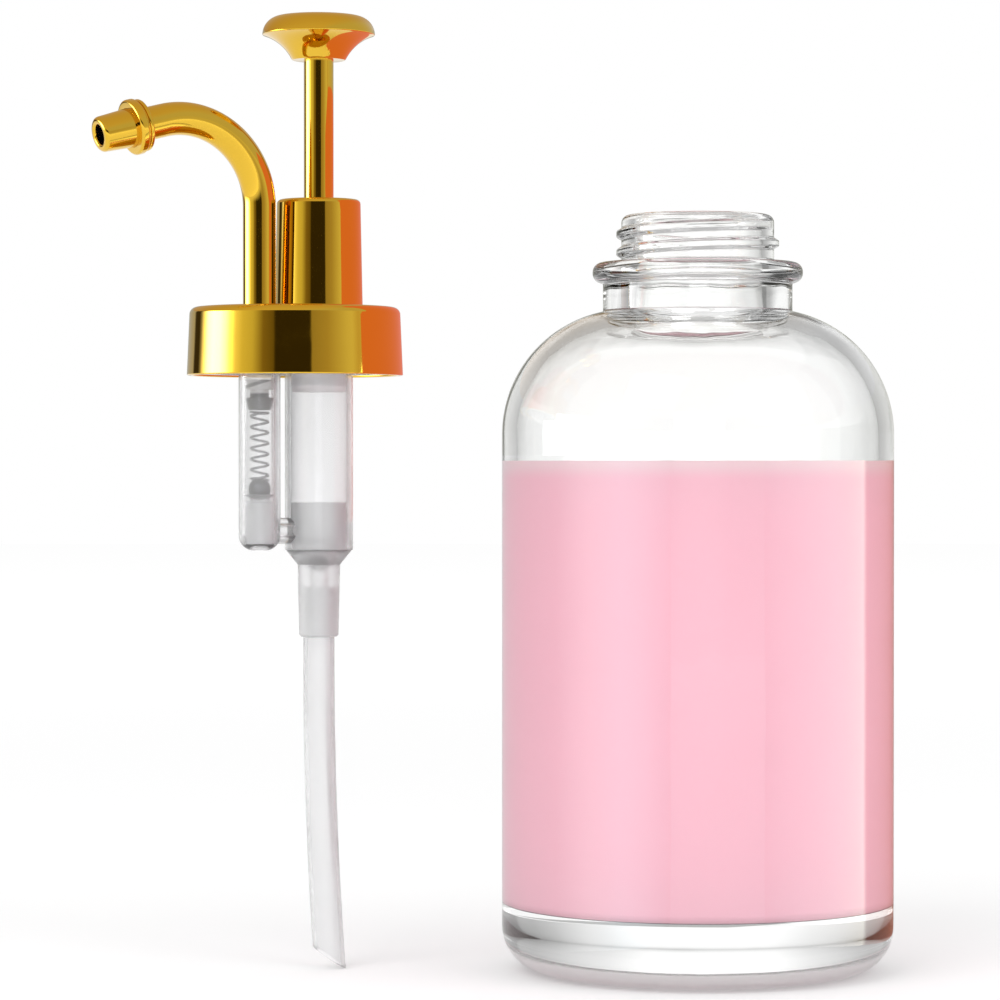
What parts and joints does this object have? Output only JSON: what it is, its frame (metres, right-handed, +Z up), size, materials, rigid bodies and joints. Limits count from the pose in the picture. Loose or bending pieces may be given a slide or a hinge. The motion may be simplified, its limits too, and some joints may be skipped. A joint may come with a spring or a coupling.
{
  "type": "syrup dispenser",
  "caption": "Round glass bottle of syrup with a screw neck, beside its lift-out gold pump: press knob, swan-neck spout, screw cap, twin-tube valve housing and dip tube.",
  "frame": {"origin": "middle of the whole row's outline, on the surface that the bottle stands on", "axes": "+Z up, +X from the pump towards the bottle, -Y towards the viewer; the spout points to -X and -Y"},
  "size_m": [0.1598, 0.079, 0.1929],
  "materials": {
    "clear_glass": "clear, polished",
    "syrup": "milky pink liquid",
    "frosted_plastic": "natural translucent polypropylene",
    "grey_plastic": "moulded",
    "white_plastic": "moulded",
    "dip_tube_plastic": "natural translucent polyethylene",
    "silicone": "soft",
    "gold_metal": "mirror polished, gold",
    "spring_steel": "drawn wire",
    "ball_steel": "polished"
  },
  "bodies": {
    "bottle": {"glass_bottle": "clear_glass", "syrup_fill": "syrup"},
    "pump": {"pump_housing": "frosted_plastic", "foot_valve_body": "frosted_plastic", "ball_cage": "grey_plastic", "dip_tube": "dip_tube_plastic", "outlet_valve_seat": "grey_plastic", "spring_retainer": "grey_plastic", "outlet_spring": "spring_steel", "neck_gasket": "silicone", "rod_guide_plug": "grey_plastic", "head_core": "white_plastic", "deck_plate": "gold_metal", "guide_barrel": "gold_metal", "barrel_bush": "white_plastic", "spout_tube": "gold_metal", "spout_seal": "silicone", "spout_collar": "gold_metal", "nozzle_tip": "gold_metal", "return_spring": "spring_steel"},
    "cap": {"closure_cap": "gold_metal", "cap_liner": "white_plastic"},
    "plunger": {"piston": "grey_plastic", "piston_seal": "silicone"},
    "knob": {"press_knob": "gold_metal", "plunger_rod": "gold_metal", "rod_collar": "spring_steel"},
    "inlet_check": {"inlet_ball": "ball_steel"},
    "outlet_check": {"outlet_ball": "ball_steel"}
  },
  "joints": [
    {"name": "pump_lift", "type": "slide", "parent": "bottle", "child": "pump", "axis": [0, 0, 1], "range_m": [0, 0.16]},
    {"name": "cap_turn", "type": "hinge", "parent": "pump", "child": "cap", "pos_m": [-0.04089, 0, 0.127], "axis": [0, 0, 1], "continuous": true},
    {"name": "plunger_press", "type": "slide", "parent": "pump", "child": "plunger", "axis": [0, 0, -1], "range_m": [0, 0.02], "stiffness_N_per_m": 300, "springref_m": -0.02, "deforming": ["return_spring"]},
    {"name": "knob_turn", "type": "hinge", "parent": "plunger", "child": "knob", "pos_m": [-0.03622, 0.0027, 0.15], "axis": [0, 0, 1], "continuous": true},
    {"name": "inlet_ball_lift", "type": "slide", "parent": "pump", "child": "inlet_check", "axis": [0, 0, 1], "range_m": [0, 0.0012]},
    {"name": "outlet_ball_lift", "type": "slide", "parent": "pump", "child": "outlet_check", "axis": [0, 0, 1], "range_m": [0, 0.0015], "stiffness_N_per_m": 60, "springref_m": -0.0015, "deforming": ["outlet_spring"]}
  ]
}
